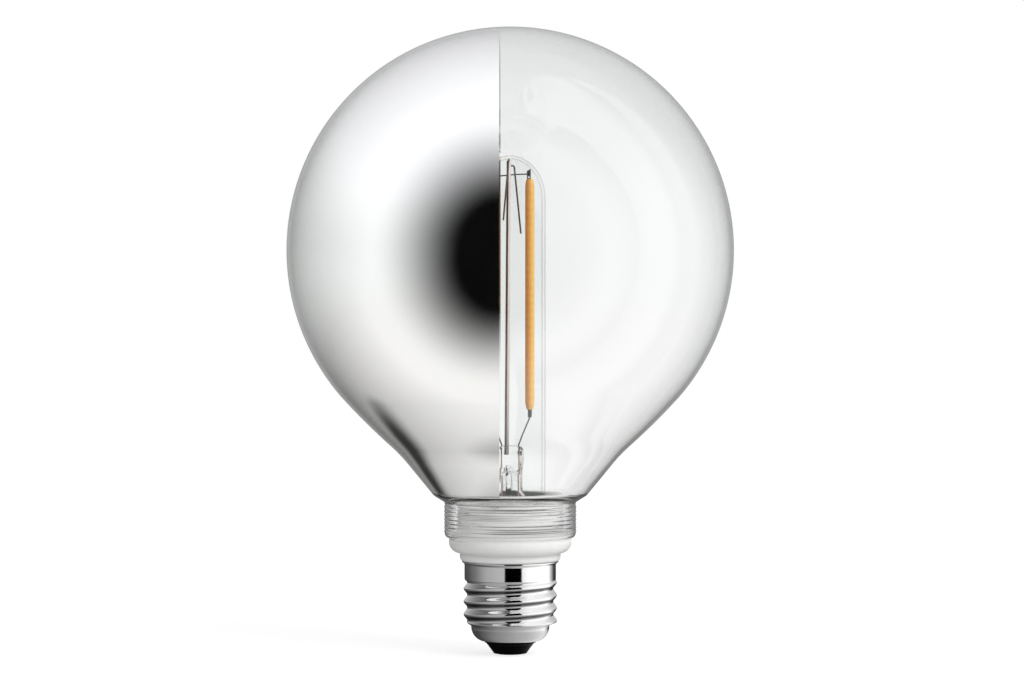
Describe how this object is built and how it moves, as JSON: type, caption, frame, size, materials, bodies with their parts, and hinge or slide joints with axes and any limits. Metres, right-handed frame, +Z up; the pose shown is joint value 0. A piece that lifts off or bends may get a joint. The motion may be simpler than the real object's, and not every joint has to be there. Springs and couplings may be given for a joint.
{
  "type": "filament globe lamp",
  "caption": "Side-silvered glass globe lamp: clear inner tube with two upright light filaments, white collar and screw cap.",
  "frame": {"origin": "centre of the flat face of the cap's centre contact, at the lamp's lower end", "axes": "+Z up the lamp's axis, from the cap to the globe; -Y is the front; -X is the silvered side"},
  "size_m": [0.1252, 0.1252, 0.1758],
  "materials": {
    "clear_glass": "clear blown glass, with a faint grey-green edge",
    "mirror_film": "bright silver film on the inside of the glass",
    "white_cement": "matt white cement",
    "post_rod": "brown and pink glass rod",
    "nickel_wire": "dull grey-brown wire",
    "phosphor": "soft matt yellow-orange silicone with phosphor",
    "strip_ceramic": "off-white ceramic strip",
    "light_chip": "pale yellow chips",
    "tab_steel": "dull grey sheet",
    "copper_wire": "copper-clad wire",
    "white_plastic": "satin white plastic",
    "nickel_plate": "bright nickel plate on pressed sheet",
    "black_insulator": "glossy black insulator",
    "contact_brass": "tinned brass",
    "board_green": "green coated board",
    "sleeve_blue": "dark blue shrink sleeve",
    "ferrite_black": "dark ferrite",
    "package_black": "matt black package",
    "resistor_body": "pale lacquered body",
    "insulation_red": "red wire insulation",
    "insulation_blue": "blue wire insulation"
  },
  "bodies": {
    "root": {"outer_globe": "clear_glass", "mirror_coating": "mirror_film", "globe_cement": "white_cement", "inner_tube": "clear_glass", "tube_cement": "white_cement", "stem": "clear_glass", "exhaust_tube": "clear_glass", "support_post": "post_rod", "spring_anchor": "nickel_wire", "bridge_wire": "nickel_wire", "filament_coat_left": "phosphor", "filament_coat_right": "phosphor", "filament_strip_left": "strip_ceramic", "filament_strip_right": "strip_ceramic", "light_chips_left": "light_chip", "light_chips_right": "light_chip", "top_tab_left": "tab_steel", "top_tab_right": "tab_steel", "bottom_tab_left": "tab_steel", "bottom_tab_right": "tab_steel", "inner_lead_left": "nickel_wire", "inner_lead_right": "nickel_wire", "seal_lead_left": "copper_wire", "seal_lead_right": "copper_wire", "outer_lead_left": "copper_wire", "outer_lead_right": "copper_wire", "collar": "white_plastic", "screw_shell": "nickel_plate", "base_insulator": "black_insulator", "centre_contact": "contact_brass", "driver_board": "board_green", "smoothing_capacitor": "sleeve_blue", "choke": "ferrite_black", "bridge_rectifier": "package_black", "driver_chip": "package_black", "fuse_resistor": "resistor_body", "live_wire": "insulation_red", "neutral_wire": "insulation_blue"}
  },
  "joints": []
}
